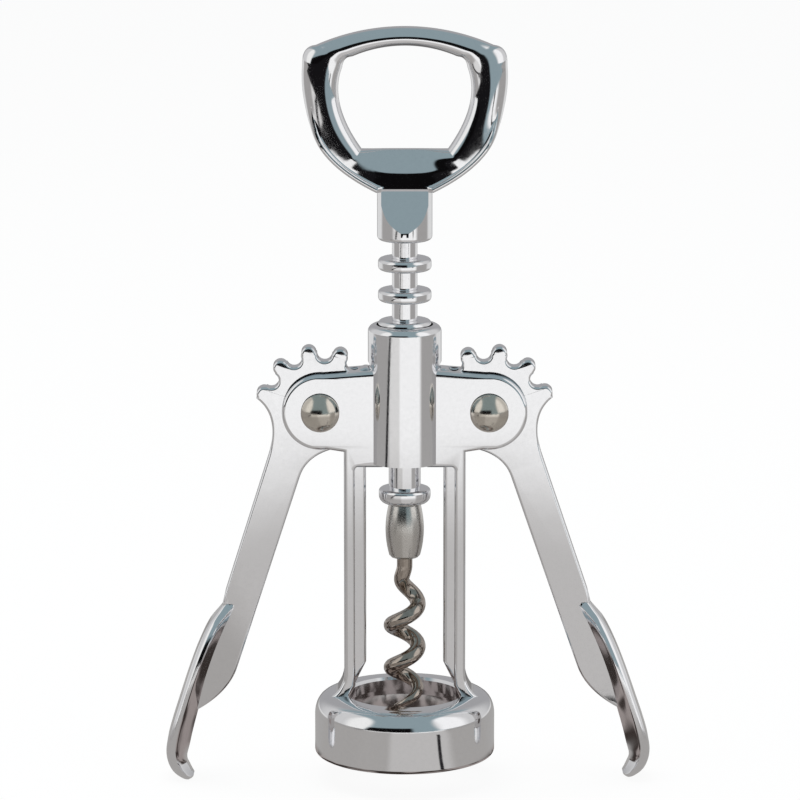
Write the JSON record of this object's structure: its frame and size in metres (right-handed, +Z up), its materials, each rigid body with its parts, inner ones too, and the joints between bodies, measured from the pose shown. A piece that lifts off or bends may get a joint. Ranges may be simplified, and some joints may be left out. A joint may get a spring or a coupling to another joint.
{
  "type": "wing corkscrew",
  "caption": "Wing corkscrew: geared lever arms on a round rack stem, an open frame on a bell that sits on the bottle, and a crown-cap opener bow as the turning handle.",
  "frame": {"origin": "centre of the tool's width and depth, at the height of the lowest lever tip", "axes": "+Z up the screw's axis from the worm's point to the handle, +X across the levers, which swing in the XZ plane, and the front is -Y"},
  "size_m": [0.113, 0.042, 0.1773],
  "materials": {
    "chrome_plate": "mirror-bright chrome plate on a zinc casting",
    "drawn_steel": "bare drawn steel, slightly warm and dull",
    "nickel_plate": "bright nickel plate on steel"
  },
  "bodies": {
    "frame": {"frame": "chrome_plate", "rivet_left": "nickel_plate", "rivet_right": "nickel_plate", "rivet_cap_left": "nickel_plate", "rivet_cap_right": "nickel_plate"},
    "stem": {"rack_stem": "chrome_plate"},
    "handle": {"handle": "chrome_plate", "worm_ferrule": "drawn_steel", "worm": "drawn_steel"},
    "lever_left": {"lever_left": "chrome_plate"},
    "lever_right": {"lever_right": "chrome_plate"}
  },
  "joints": [
    {"name": "stem_slide", "type": "slide", "parent": "frame", "child": "stem", "axis": [0, 0, -1], "range_m": [-0.0037, 0.03]},
    {"name": "handle_turn", "type": "hinge", "parent": "stem", "child": "handle", "pos_m": [0, 0, 0.132], "axis": [0, 0, 1], "continuous": true},
    {"name": "lever_left_pivot", "type": "hinge", "parent": "frame", "child": "lever_left", "pos_m": [-0.01952, 0, 0.08822], "axis": [0, 1, 0], "range_deg": [-16.1, 129.7]},
    {"name": "lever_right_pivot", "type": "hinge", "parent": "frame", "child": "lever_right", "pos_m": [0.01952, 0, 0.08822], "axis": [0, -1, 0], "range_deg": [-16.1, 129.7]}
  ],
  "couplings": [
    {"joint": "lever_left_pivot", "follows": "stem_slide", "rad_per_m": 75.361},
    {"joint": "lever_right_pivot", "follows": "stem_slide", "rad_per_m": 75.361}
  ]
}
